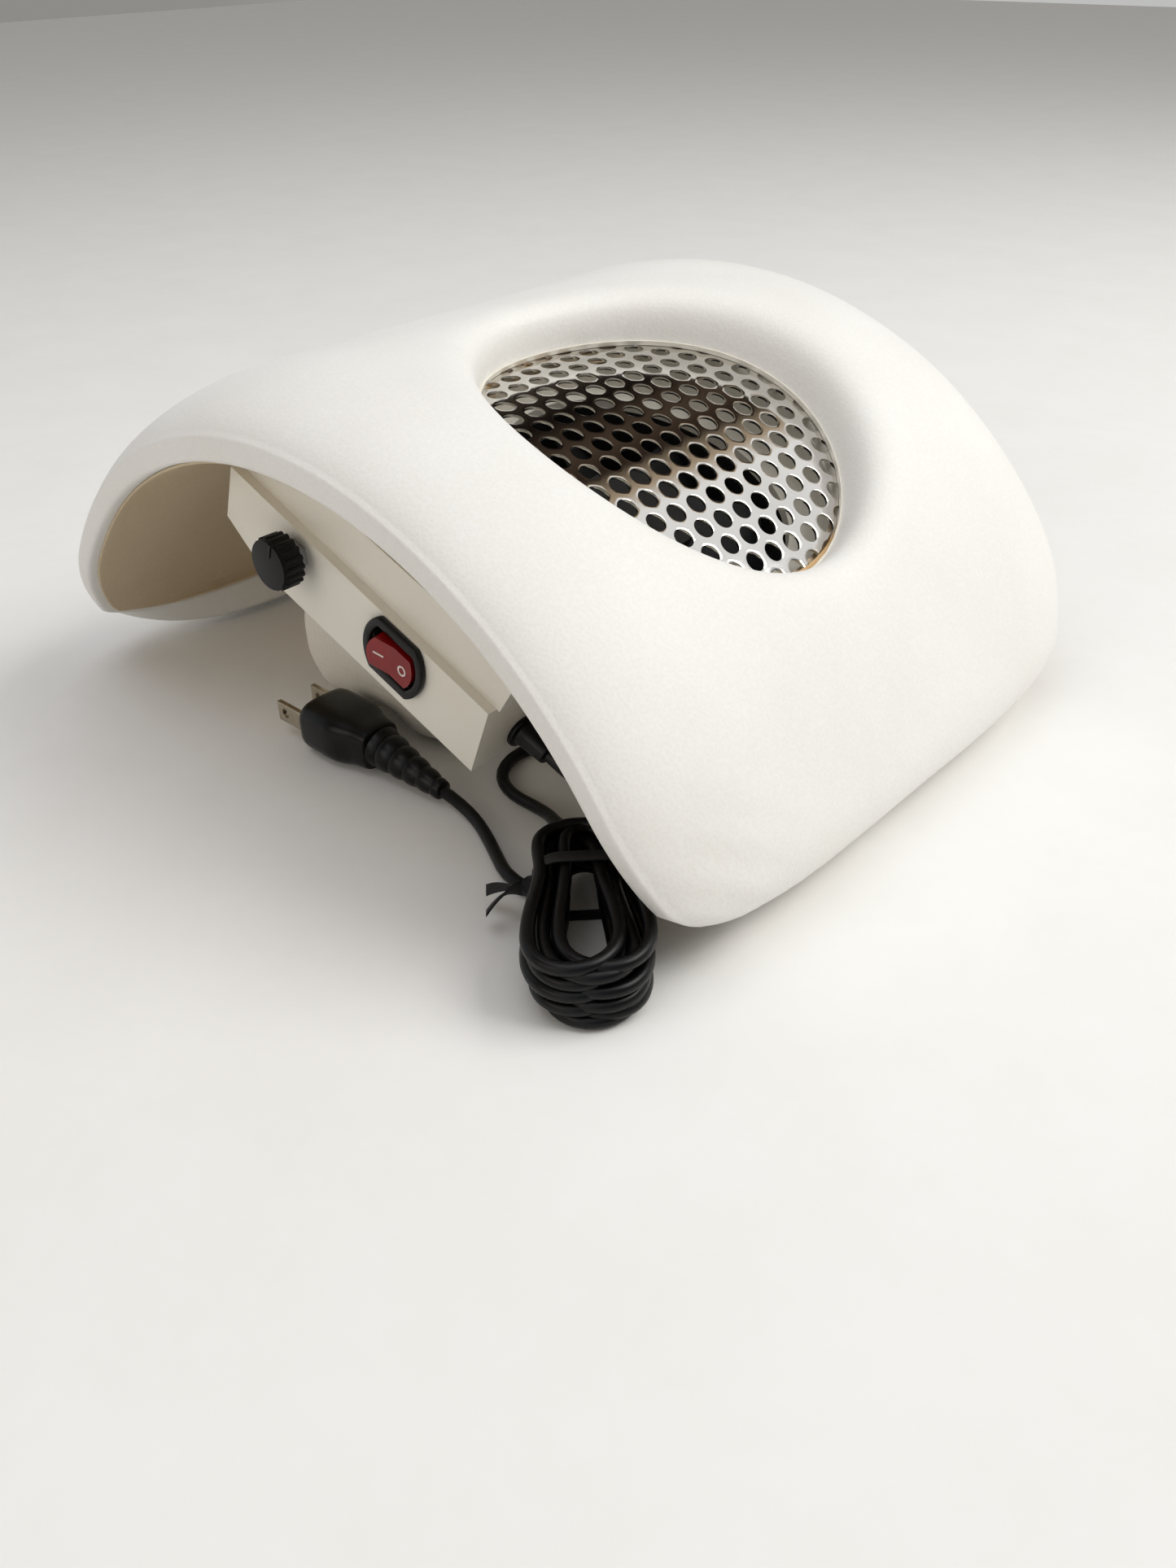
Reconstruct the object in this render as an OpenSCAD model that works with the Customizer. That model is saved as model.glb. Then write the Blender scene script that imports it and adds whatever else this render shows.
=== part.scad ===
/* [Arch] */
// Overall width across the arch, foot to foot
arch_w = 265; // [250:1:280]
// Overall depth, rear opening to front opening
arch_d = 208; // [200:1:216]
// Height of the crest above the table
arch_h = 116; // [112:1:118]
// Outer radius of the roll at the bottom of each leg
roll_r = 18; // [16:1:20]
// Padding, board and lining together at the crest
crest_t = 20; // [18:1:22]
// The same at the legs
leg_t = 15; // [14:1:15]
// Radius of the rounded bottom corners of each leg, seen from the side
corner_r = 60; // [54:1:64]

/* [Intake] */
// Sideways tilt of the intake and of everything under it, in degrees
tilt = 21.5; // [20:0.5:23]
// Half length of the oval mouth across the arch
mouth_a = 53; // [50:1:54]
// Half length of the oval mouth along the arch
mouth_b = 50; // [46:1:51]
// Distance of the mouth's middle from the arch's middle, towards the front
mouth_y = -4; // [-8:1:0]

/* [Fan] */
// Outside of the square fan frame
fan_w = 92; // [88:1:92]
// Depth of the fan frame
fan_h = 32; // [30:1:34]
// Number of fan blades
blade_count = 7; // [5:1:9]
// Radius of the fan shaft
shaft_r = 1.5; // [1.5:0.25:2]

/* [Controls] */
// Height of the control panel face
panel_h = 23; // [22:1:25]
// Diameter of the speed knob
knob_d = 15; // [14:0.5:16]
// How far the speed knob stands out
knob_l = 9; // [8:1:11]
// Long way across the switch bezel
bezel_w = 23; // [21:1:24]
// Short way across the switch bezel
bezel_h = 18; // [17:1:19]

/* [Cord] */
// Diameter of the mains cord
cord_d = 3.6; // [3.2:0.2:4]

/* [Hidden] */
$fn = 64;
eps = 0.01;
gap = 0.3;

// Arch profile: a crest arc that runs into a roll at each leg
foot_flat = 0.8;
roll_x = arch_w / 2 - roll_r;
roll_z = roll_r - foot_flat;
roll_end = 110;
cover_t = [2, 2];
foam_t = [crest_t - 4, leg_t - 3];
board_t = [crest_t - 1, leg_t - 1];
lining_t = [crest_t, leg_t];
crest_r = arc_radius(0, 0);

// Stations along the unit's own axis, measured from the centre of the crest arc
grille_z = crest_r - 15;
grille_t = 0.8;
fan_top = 100;
fan_bottom = fan_top - fan_h;
fan_y = -5;
fan_mid = (fan_top + fan_bottom) / 2;
bore_r = fan_w / 2 - 2;
hub_r = 17;
blade_r = bore_r - 1.5;
screw_at = fan_w / 2 - 5;
collar_h = 6;

// Control housing, in the unit's own frame
panel_y = -88;
panel_l = -77;
panel_r = 28;
panel_z = 63;
housing_back = fan_y - fan_w / 2;
wall = 2;
knob_at = [-46.5, 0, panel_z + 16.5];
switch_at = [-5, 0, panel_z + 13.5];
bezel_y = panel_y - 2;
rocker_tip = 9;
band_y = panel_y + 3;
band_top = 100;

// Cord: points chosen by hand along its free stretches
cord_r = cord_d / 2;
grommet_at = [panel_r, -72, 70];
boss_z = panel_z + 17;
boss_x = [panel_l + 6, panel_r - 5];
wire_z = panel_z + 19;
inner_route = [
    [61.9, -72, 27.3], [69, -71.6, 24], [76.5, -69, 19], [83, -62.5, 13], [86, -53, 7.8],
    [85, -43, 4.2], [79.5, -34, 2.2], [70, -27.5, 2.1], [58, -24.5, 2.1], [46, -25.5, 2.1],
    [35.5, -31.5, 2.1], [28.5, -41, 2.1], [26.5, -52, 2.1], [31, -61.5, 2.1],
    [40, -66, 2.1], [50, -67, 3.2], [59, -69.5, 5.4], [66.2, -74.3, 8.6],
    [75, -79.5, 11]
];
free_route = [
    [26.3, -79.6, 4.3], [34, -79.5, 3], [43, -81.5, 2.1], [51.5, -85.5, 2.1],
    [59.5, -90, 2.4], [67.8, -94.6, 3.4], [76.4, -98.4, 5]
];
hank_at = [98, -98];
hank_turn = -44;
hank_size = [60, 32, 19];
plug_at = [-26, -79.6, 8.3];
plug_turn = 0;

// Radius of the crest arc whose surface lies ct below the crest and lt inside the legs
function arc_radius(ct, lt) =
    let (h = arch_h - ct - roll_z, r = roll_r - lt)
    (roll_x * roll_x + h * h - r * r) / (2 * h - 2 * r);

// Points of the arch surface at that depth, from the right foot over to the left foot
function arch_line(ct, lt) =
    let (
        R = arc_radius(ct, lt),
        r = roll_r - lt,
        cz = arch_h - ct - R,
        meet = atan2(roll_z - cz, roll_x),
        roll = [for (i = [0:16]) let (a = -roll_end + i * (meet + roll_end) / 16)
            [roll_x + r * cos(a), roll_z + r * sin(a)]],
        crest = [for (i = [1:16]) let (a = meet + i * (90 - meet) / 16)
            [R * cos(a), cz + R * sin(a)]],
        half = concat(roll, crest)
    )
    concat(half, [for (i = [len(half) - 2:-1:0]) [-half[i].x, half[i].y]]);

// Place in the side plane of a point a along and rho out in the unit's frame
function unit_point(a, rho) =
    [rho * sin(tilt) + a * cos(tilt), arch_h - crest_r + rho * cos(tilt) - a * sin(tilt)];

function reversed(list) = [for (i = [len(list) - 1:-1:0]) list[i]];

// Side view of the legs: square above, large round corners below
module side_outline(inset) {
    r = corner_r - inset;
    half = arch_d / 2 - inset;
    rotate([90, 0, 90]) linear_extrude(arch_w + 20, center = true) {
        translate([-half, corner_r]) square([2 * half, arch_h]);
        translate([r - half, inset]) square([2 * (half - r), corner_r]);
        for (s = [-1, 1]) translate([s * (half - r), corner_r]) circle(r);
    }
}

// One layer of the arch between two depths
module arch_layer(outer, inner, inset) {
    intersection() {
        rotate([90, 0, 0]) linear_extrude(arch_d - 2 * inset, center = true)
            polygon(concat(arch_line(outer[0], outer[1]), reversed(arch_line(inner[0], inner[1]))));
        side_outline(inset);
        translate([-arch_w, -arch_d, 0]) cube([2 * arch_w, 2 * arch_d, 2 * arch_h]);
    }
}

// Space under the lining, less a clearance
module under_arch(clear) {
    rotate([90, 0, 0]) linear_extrude(arch_d + 10, center = true)
        polygon(arch_line(crest_t + clear, leg_t + clear));
}

// The tilted frame: x along the unit, z out through the mouth, from the crest arc's centre
module unit() {
    translate([0, 0, arch_h - crest_r]) rotate([0, tilt, 0]) children();
}

module oval(a, b) {
    polygon([for (i = [0:47]) [a * cos(7.5 * i), b * sin(7.5 * i)]]);
}

module mouth_cut(grow) {
    unit() translate([0, mouth_y, crest_r - 60]) linear_extrude(80) oval(mouth_a + grow, mouth_b + grow);
}

module padded_cover() {
    color("white") difference() {
        arch_layer([0, 0], board_t, 0);
        arch_layer(cover_t, [crest_t + 2, leg_t + 2], 2);
        mouth_cut(3);
    }
}

module foam_pad() {
    color("ivory") difference() {
        arch_layer(cover_t, foam_t, 2);
        mouth_cut(3);
    }
}

module arch_board() {
    color("burlywood") difference() {
        arch_layer(foam_t, board_t, 2);
        mouth_cut(3);
    }
}

module inner_lining() {
    color("antiquewhite") difference() {
        arch_layer(board_t, lining_t, 4);
        mouth_cut(3);
    }
}

// Oval liner that holds the grille's edge and closes the padding round the mouth
module mouth_ring() {
    color("white") difference() {
        unit() translate([0, mouth_y, 0]) difference() {
            intersection() {
                translate([0, 0, grille_z - 40]) linear_extrude(50) oval(mouth_a + 3, mouth_b + 3);
                grille_arc(grille_z + 1.5, 30);
            }
            translate([0, 0, grille_z - 45]) linear_extrude(60) oval(mouth_a, mouth_b);
            grille_arc(grille_z + gap / 2, grille_t + gap, 1.2);
        }
        under_arch(0);
    }
}

// Part of a tube about the arch's axis, under the mouth
module grille_arc(r, t, grow = 3) {
    rotate([90, 0, 0]) linear_extrude(2 * (mouth_b + grow), center = true) intersection() {
        difference() {
            circle(r, $fn = 180);
            circle(r - t, $fn = 180);
        }
        translate([-mouth_a - grow, r - 40]) square([2 * (mouth_a + grow), 50]);
    }
}

module intake_grille() {
    color("silver") unit() translate([0, mouth_y, 0]) intersection() {
        grille_arc(grille_z, grille_t);
        translate([0, 0, grille_z - 40]) linear_extrude(60) oval(mouth_a + 1, mouth_b + 1);
    }
}

// Moulded duct from the mouth down to the fan, cut to the curve of the lining
module duct() {
    color("whitesmoke") intersection() {
        unit() difference() {
            translate([-mouth_a - 3, mouth_y - mouth_b - 4, fan_top + 1])
                cube([2 * mouth_a + 6, 2 * mouth_b + 8, 32]);
            translate([0, mouth_y, fan_top + 4]) linear_extrude(100) oval(mouth_a - 2, mouth_b);
            translate([0, fan_y, 0]) cylinder(h = fan_top + 6, r = bore_r - 1);
        }
        under_arch(0);
    }
}

// Foam strip between the duct and the fan frame
module duct_gasket() {
    color("dimgray") unit() translate([0, fan_y, fan_top]) linear_extrude(1) difference() {
        square(fan_w - 2, center = true);
        circle(bore_r);
    }
}

module at_fan_corners() {
    for (x = [-screw_at, screw_at], y = [-screw_at, screw_at]) translate([x, y, 0]) children();
}

module fan_frame() {
    color("#222222") unit() translate([0, fan_y, fan_bottom]) difference() {
        linear_extrude(fan_h) difference() {
            square(fan_w, center = true);
            circle(bore_r);
        }
        for (z = [5, fan_h - 5 - 8]) translate([0, 0, z]) linear_extrude(8)
            for (a = [45:90:315]) rotate(a) translate([bore_r + 14, 0]) square([14, 40], center = true);
        at_fan_corners() translate([0, 0, -eps]) cylinder(h = fan_h + 1, r = 2.1);
    }
}

// Four struts and the motor base that carries the stator
module fan_struts() {
    color("#222222") unit() translate([0, fan_y, fan_bottom]) {
        difference() {
            cylinder(h = 4, r = hub_r);
            translate([0, 0, -eps]) cylinder(h = 5, r = 3);
        }
        for (a = [0:90:270]) rotate(a) translate([hub_r - 0.5, -2, 0]) cube([bore_r - hub_r + 0.5, 4, 4]);
        difference() {
            cylinder(h = 17, r = 5);
            translate([0, 0, -eps]) cylinder(h = 18, r = 3);
        }
    }
}

module fan_stator() {
    color("dimgray") unit() translate([0, fan_y, fan_bottom + 8]) linear_extrude(8) difference() {
        union() {
            circle(7.9);
            for (a = [0:90:270]) rotate(a) {
                translate([9, 0]) square([8, 3], center = true);
                intersection() {
                    circle(12.8);
                    translate([12.5, 0]) square([4, 12], center = true);
                }
            }
        }
        circle(5);
    }
}

module fan_coils() {
    color("orangered") unit() translate([0, fan_y, fan_bottom + 6.5]) for (a = [0:90:270]) rotate(a)
        translate([9.2, 0, 5.5]) difference() {
            cube([2.4, 7, 11], center = true);
            cube([5, 3, 8], center = true);
        }
}

module fan_board() {
    color("darkgreen") unit() translate([0, fan_y, fan_bottom + 4]) linear_extrude(1.4) difference() {
        circle(14);
        circle(5);
    }
}

module bearing(z) {
    unit() translate([0, fan_y, fan_bottom + z]) linear_extrude(3.5) difference() {
        circle(3);
        circle(shaft_r + 0.05);
    }
}

module bearing_upper() {
    color("silver") bearing(13);
}

module bearing_lower() {
    color("silver") bearing(1.5);
}

module fan_shaft() {
    color("silver") unit() translate([0, fan_y, fan_bottom + 0.6]) cylinder(h = fan_h - 6.6, r = shaft_r);
}

module rotor_clip() {
    color("silver") unit() translate([0, fan_y, fan_bottom + 0.6]) linear_extrude(0.5) difference() {
        circle(2.6);
        circle(shaft_r);
    }
}

// Cup-shaped hub with pitched blades
module fan_rotor() {
    color("#2b2b2b") unit() translate([0, fan_y, fan_bottom]) {
        difference() {
            translate([0, 0, 6]) cylinder(h = fan_h - 8, r = hub_r);
            translate([0, 0, 6 - eps]) cylinder(h = fan_h - 13, r = hub_r - 1.5);
            cylinder(h = fan_h - 6, r = shaft_r);
        }
        for (i = [0:blade_count - 1]) rotate(i * 360 / blade_count) intersection() {
            translate([0, 0, 7]) cylinder(h = fan_h - 11, r = blade_r);
            translate([hub_r - 0.5, 0, fan_h / 2 + 1]) rotate([38, 0, 0])
                translate([0, -16, -0.9]) cube([blade_r, 32, 1.8]);
        }
    }
}

module rotor_magnet() {
    color("#555555") unit() translate([0, fan_y, fan_bottom + 7]) linear_extrude(11) difference() {
        circle(hub_r - 1.5);
        circle(hub_r - 3.6);
    }
}

// Wire rings and their spokes under the fan
module finger_guard() {
    wire = 0.8;
    color("silver") unit() translate([0, fan_y, fan_bottom - wire]) {
        for (r = [12:10:bore_r]) rotate_extrude() translate([r, 0]) circle(wire, $fn = 16);
        for (a = [45, 135]) rotate([0, 90, a]) cylinder(h = 2 * screw_at * sqrt(2) - 9, r = wire - 0.1, center = true);
        at_fan_corners() translate([0, 0, -0.1]) linear_extrude(0.8) difference() {
            circle(5);
            circle(2.1);
        }
    }
}

module fan_screws() {
    color("gray") unit() translate([0, fan_y, fan_bottom - 0.9]) at_fan_corners() {
        cylinder(h = fan_h + 0.9, r = 2);
        translate([0, 0, -2]) cylinder(h = 2, r = 3.6);
    }
}

// Square collar that the bag's mouth is stretched over, on feet that clear the guard
module bag_collar() {
    color("whitesmoke") unit() translate([0, fan_y, fan_bottom - 4]) {
        translate([0, 0, -collar_h]) linear_extrude(collar_h) difference() {
            square(fan_w - 4, center = true);
            circle(bore_r - 4);
        }
        linear_extrude(4) difference() {
            square(fan_w - 4, center = true);
            circle(bore_r + 0.5);
            at_fan_corners() circle(14);
        }
    }
}

module bag_elastic() {
    color("white") unit() translate([0, fan_y, fan_bottom - 4 - collar_h + 1]) linear_extrude(3) difference() {
        square(fan_w - 1, center = true);
        square(fan_w - 4, center = true);
    }
}

// Hanging bag, low on the left where dust gathers, bulging rearwards under the housing
module dust_bag() {
    left = unit_point(-fan_w / 2 + 2, fan_bottom - 4 - collar_h);
    right = unit_point(fan_w / 2 - 2, fan_bottom - 4 - collar_h);
    bulge = [[-38, 50], [-50, 38], [-54, 24], [-50, 12], [-40, 5], [-8, 3], [14, 3.5]];
    color("white") {
        along_y(fan_y - fan_w / 2 + 4, fan_y + fan_w / 2 - 4)
            polygon(concat([left], bulge, [[22, 6.5], [34, 12], [48, 10.5], [61, 8.5], right]));
        along_y(-67.5, fan_y - fan_w / 2 + 4)
            polygon(concat([left - [0, 0.3]], bulge, [[20, 6.5], [24, 16], [24, 28.5]]));
    }
}

module panel_outline(grow) {
    polygon([
        [panel_l - grow, panel_z + 7 - grow], [panel_l + 18, panel_z - grow], [panel_r + grow, panel_z - grow],
        [panel_r + grow, panel_z + panel_h + grow - 1], [panel_l - grow, panel_z + panel_h + 1 + grow]
    ]);
}

module along_y(y0, y1) {
    translate([0, y1, 0]) rotate([90, 0, 0]) linear_extrude(y1 - y0) children();
}

// Control housing: a box behind the panel and the stepped band above it
module control_housing() {
    color("whitesmoke") intersection() {
        unit() difference() {
            union() {
                along_y(panel_y, housing_back - wall) panel_outline(0);
                along_y(band_y, housing_back - wall) polygon([
                    [panel_l - 6, panel_z + panel_h], [panel_r + 1, panel_z + panel_h - 1],
                    [panel_r + 4, band_top], [panel_l - 14, band_top]
                ]);
            }
            difference() {
                along_y(panel_y + wall, housing_back + 1) panel_outline(-wall);
                for (x = boss_x) translate([x, 0, boss_z]) along_y(panel_y, housing_back - wall) circle(3.4);
            }
            for (x = boss_x) translate([x, 0, boss_z]) along_y(housing_back - 10, housing_back) circle(1.6);
            along_y(band_y + wall, housing_back + 1) polygon([
                [panel_l - 3, panel_z + panel_h - 3], [panel_r - 1, panel_z + panel_h - 4],
                [panel_r + 1, band_top - wall], [panel_l - 10, band_top - wall]
            ]);
            translate(knob_at) along_y(panel_y - 1, panel_y + 5) circle(3.6);
            translate(switch_at) along_y(panel_y - 1, panel_y + 5) square([18.6, 12.6], center = true);
            translate([panel_r - 6, grommet_at.y, grommet_at.z]) rotate([0, 90, 0]) cylinder(h = 12, r = 3.6);
        }
        under_arch(gap);
    }
}

// Plate that closes the housing, with two posts for the circuit board
module housing_cover() {
    color("gainsboro") unit() {
        difference() {
            along_y(housing_back - wall, housing_back) panel_outline(-0.2);
            translate([-40, 0, wire_z]) along_y(housing_back - 3, housing_back + 1) circle(2.6);
            for (x = boss_x) translate([x, 0, boss_z]) {
                along_y(housing_back - 3, housing_back + 1) circle(1.7);
                along_y(housing_back - 1.2, housing_back + 1) circle(2.9);
            }
        }
        for (x = [-39, -23]) translate([x, 0, panel_z + 5])
            along_y(housing_back - wall - 3.4, housing_back - wall) circle(1.5);
    }
}

module housing_screws() {
    color("gray") unit() for (x = boss_x) translate([x, 0, boss_z]) {
        along_y(housing_back - 9, housing_back - 1.2) circle(1.6);
        along_y(housing_back - 1.2, housing_back) circle(2.8);
    }
}

module pot_body() {
    color("dimgray") unit() translate(knob_at) {
        along_y(panel_y + wall, panel_y + wall + 9) circle(4.5);
        along_y(panel_y - 3, panel_y + wall) difference() {
            circle(3.5);
            circle(2.35);
        }
    }
}

module pot_nut() {
    color("silver") unit() translate(knob_at) along_y(panel_y - 2, panel_y) difference() {
        circle(4.4, $fn = 6);
        circle(3.5);
    }
}

module pot_shaft() {
    color("silver") unit() translate(knob_at) along_y(panel_y - knob_l + 1, panel_y + wall - 0.3) circle(2.3);
}

module speed_knob() {
    color("#151515") unit() translate(knob_at) difference() {
        union() {
            along_y(panel_y - knob_l - 1, panel_y - 3.4) circle(knob_d / 2 - 0.6);
            along_y(panel_y - knob_l, panel_y - 3.4) for (a = [0:20:340]) rotate(a)
                translate([knob_d / 2 - 0.9, 0]) circle(0.9, $fn = 16);
        }
        along_y(panel_y - knob_l + 1, panel_y - 3) circle(2.3);
    }
}

module knob_pointer() {
    color("#202020") unit() translate(knob_at) along_y(panel_y - knob_l - 1.3, panel_y - knob_l - 1)
        translate([-0.5, 3]) square([1, 4]);
}

module bezel_outline(w, h) {
    intersection() {
        circle(w / 2);
        square([w, h], center = true);
    }
}

module rocker_bezel() {
    color("#101010") unit() translate(switch_at) along_y(bezel_y, panel_y) difference() {
        bezel_outline(bezel_w, bezel_h);
        bezel_outline(bezel_w - 5, bezel_h - 6);
    }
}

// Switch body behind the panel, open at the front for the rocker
module switch_body() {
    color("#101010") unit() translate(switch_at) difference() {
        along_y(panel_y, panel_y + 13) square([18.4, 12.4], center = true);
        along_y(panel_y - 1, panel_y + 8) square([16.4, 10.4], center = true);
        translate([0, panel_y + 2, -7]) cylinder(h = 14, r = 1.15);
    }
}

module switch_terminals() {
    color("gold") unit() translate(switch_at) for (x = [-6, 0, 6]) translate([x - 0.4, panel_y + 13, -2.4])
        cube([0.8, 6, 4.8]);
}

// Rocker with two faces that slope away from the middle; the off end is down at rest
module rocker_button() {
    color("red") in_rocker() {
        intersection() {
            translate([0, 0, -4.8]) linear_extrude(9.6) polygon([
                [-7.6, -5.6], [0, -4.4], [7.6, -5.6], [7.4, -0.5], [3, 2.5], [-3, 2.5], [-7.4, -0.5]
            ]);
            along_y(-10, 10) circle(7.6);
        }
        translate([0, 0, -5.9]) cylinder(h = 11.8, r = 1);
    }
}

module in_rocker() {
    unit() translate([switch_at.x, panel_y + 2, switch_at.z]) rotate([0, 0, rocker_tip]) children();
}

// The line of the on end and the ring of the off end
module rocker_marks() {
    color("mistyrose") in_rocker() {
        translate([-4, -5.11, 0]) rotate([0, 0, rocker_tip]) cube([3.2, 0.12, 0.5], center = true);
        translate([4, -5.11, 0]) rotate([90, 0, -rocker_tip]) linear_extrude(0.12, center = true) difference() {
            circle(1.5);
            circle(1.05);
        }
    }
}

module circuit_board() {
    color("darkgreen") unit() translate([-42, housing_back - wall - 5, panel_z + 3])
        cube([22, 1.6, 17]);
}

module board_capacitor() {
    color("goldenrod") unit() translate([-38, housing_back - wall - 11, panel_z + 5]) cube([14, 6, 7]);
}

module board_triac() {
    color("#333333") unit() translate([-40, housing_back - wall - 9.5, panel_z + 14]) cube([10, 4.5, 5]);
}

module board_choke() {
    color("orange") unit() translate([-24.5, 0, panel_z + 16]) along_y(housing_back - wall - 10, housing_back - wall - 5)
        difference() {
            circle(3);
            circle(1.2);
        }
}

module fan_wires() {
    color("red") unit() for (x = [-1.1, 1.1]) translate([x - 40, 0, wire_z])
        along_y(housing_back - wall - 3.4, housing_back) circle(0.9);
}

module cord_grommet() {
    color("#151515") unit() translate(grommet_at) rotate([0, 90, 0]) {
        translate([0, 0, -3]) cylinder(h = 3, r = 3.5);
        cylinder(h = 1.6, r = 5);
        translate([0, 0, 1.6]) cylinder(h = 9.4, r1 = 3.6, r2 = 2.9);
    }
}

// Unit direction of a route at point i
function route_dir(pts, i) =
    let (d = pts[min(i + 1, len(pts) - 1)] - pts[max(i - 1, 0)])
    d / norm(d);

// Tube of radius r along a route
module route_tube(pts, r) {
    sides = 10;
    n = len(pts);
    rings = [for (i = [0:n - 1])
        let (
            t = route_dir(pts, i),
            side = cross([0, 0, 1], t) / norm(cross([0, 0, 1], t)),
            up = cross(t, side)
        )
        for (k = [0:sides - 1]) pts[i] + r * cos(36 * k) * side + r * sin(36 * k) * up
    ];
    polyhedron(rings, concat(
        [[for (k = [0:sides - 1]) k]],
        [for (i = [0:n - 2], k = [0:sides - 1]) let (a = i * sides + k, b = i * sides + (k + 1) % sides)
            [a, a + sides, b + sides, b]],
        [[for (k = [sides - 1:-1:0]) (n - 1) * sides + k]]
    ));
}

module cord_inner() {
    color("#151515") route_tube(inner_route, cord_r);
}

module cord_free() {
    color("#151515") route_tube(free_route, cord_r);
}

module in_hank() {
    translate([hank_at.x, hank_at.y, 0]) rotate(hank_turn) children();
}

// Outer shape of the folded and tied cord
module cord_hank() {
    half = (hank_size.x - hank_size.y) / 2;
    color("#151515") in_hank() translate([0, 0, 0.4]) linear_extrude(hank_size.z) {
        square([2 * half, hank_size.y], center = true);
        for (s = [-1, 1]) translate([s * half, 0]) circle(hank_size.y / 2);
    }
}

module cord_tie() {
    color("#202020") in_hank() translate([-12, 0, 0.2]) rotate([90, 0, 90]) linear_extrude(4, center = true)
        difference() {
            translate([-hank_size.y / 2 - 0.8, 0]) square([hank_size.y + 1.6, hank_size.z + 1]);
            translate([-hank_size.y / 2, 0.2]) square([hank_size.y, hank_size.z]);
        }
}

module in_plug() {
    translate(plug_at) rotate(plug_turn) children();
}

module plug_body() {
    color("#151515") in_plug() difference() {
        rotate([90, 0, 90]) linear_extrude(27) intersection() {
            square([20, 16], center = true);
            circle(11.5);
        }
        for (s = [-1, 1]) translate([0, s * 6.35 - 0.75, -3.2]) cube([6, 1.5, 6.4]);
    }
}

module plug_relief() {
    color("#151515") in_plug() translate([27, 0, 0]) rotate([0, 9, 0]) {
        rotate([0, 90, 0]) cylinder(h = 26, r1 = 6.5, r2 = 3.2);
        for (x = [3, 9, 15]) translate([x, 0, 0]) rotate([0, 90, 0]) cylinder(h = 3.2, r = 7 - x * 0.16);
    }
}

module plug_blades() {
    color("silver") in_plug() for (s = [-1, 1]) translate([-13, s * 6.35, 0]) difference() {
        translate([0, -0.75, -3.2]) cube([19, 1.5, 6.4]);
        translate([3.5, 0, 0]) rotate([90, 0, 0]) cylinder(h = 4, r = 1.5, center = true);
    }
}

padded_cover();
foam_pad();
arch_board();
inner_lining();
mouth_ring();
intake_grille();
duct();
duct_gasket();
fan_frame();
fan_struts();
fan_stator();
fan_coils();
fan_board();
bearing_upper();
bearing_lower();
fan_shaft();
fan_rotor();
rotor_magnet();
rotor_clip();
finger_guard();
fan_screws();
bag_collar();
bag_elastic();
dust_bag();
control_housing();
housing_cover();
housing_screws();
pot_body();
pot_shaft();
pot_nut();
speed_knob();
knob_pointer();
rocker_bezel();
switch_body();
switch_terminals();
rocker_button();
rocker_marks();
circuit_board();
board_capacitor();
board_triac();
board_choke();
fan_wires();
cord_grommet();
cord_inner();
cord_hank();
cord_tie();
cord_free();
plug_relief();
plug_body();
plug_blades();
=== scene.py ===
import math
import bmesh
import bpy
from mathutils import Matrix, Vector, noise


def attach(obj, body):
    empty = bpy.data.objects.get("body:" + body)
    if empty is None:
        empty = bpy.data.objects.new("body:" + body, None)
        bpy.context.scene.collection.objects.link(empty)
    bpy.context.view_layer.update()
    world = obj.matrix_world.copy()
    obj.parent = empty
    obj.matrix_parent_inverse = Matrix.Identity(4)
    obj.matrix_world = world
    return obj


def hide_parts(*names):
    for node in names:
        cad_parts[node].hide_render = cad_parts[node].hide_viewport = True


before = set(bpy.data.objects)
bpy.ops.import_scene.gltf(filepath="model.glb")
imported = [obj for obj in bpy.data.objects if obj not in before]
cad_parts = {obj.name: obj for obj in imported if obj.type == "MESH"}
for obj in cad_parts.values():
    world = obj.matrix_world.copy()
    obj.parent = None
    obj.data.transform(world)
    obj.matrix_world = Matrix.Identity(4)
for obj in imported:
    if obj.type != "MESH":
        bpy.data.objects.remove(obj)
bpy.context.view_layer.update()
scene = bpy.context.scene
mm = 0.001
print("frame loaded:", len(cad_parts), "CAD nodes")

# camera, light and floor
cameraSetup = {
    "place": (0.26285, -0.27468, 0.21198),
    "right": (0.74120, 0.67113, -0.01448),
    "up": (-0.36855, 0.42486, 0.82684),
    "back": (0.56107, -0.60752, 0.56225),
    "lens": 29.885, "sensor": 36, "nearest": 0.01,
}


def makeCamera():
    data = bpy.data.cameras.new("camera")
    data.lens = cameraSetup["lens"]
    data.sensor_width = cameraSetup["sensor"]
    data.clip_start = cameraSetup["nearest"]
    cam = bpy.data.objects.new("camera", data)
    turn = Matrix((cameraSetup["right"], cameraSetup["up"], cameraSetup["back"])).transposed()
    cam.matrix_world = Matrix.Translation(cameraSetup["place"]) @ turn.to_4x4()
    scene.collection.objects.link(cam)
    scene.camera = cam


def toLinear(code, alpha=1.0):
    parts = [int(code[i:i + 2], 16) / 255 for i in (1, 3, 5)]
    return tuple(c / 12.92 if c <= 0.04045 else ((c + 0.055) / 1.055) ** 2.4 for c in parts) + (alpha,)


def addNode(tree, kind, values=None, links=None, **settings):
    node = tree.nodes.new(kind)
    for key, value in settings.items():
        setattr(node, key, value)
    for key, value in (values or {}).items():
        node.inputs[key].default_value = value
    for key, source in (links or {}).items():
        tree.links.new(source, node.inputs[key])
    return node


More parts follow.
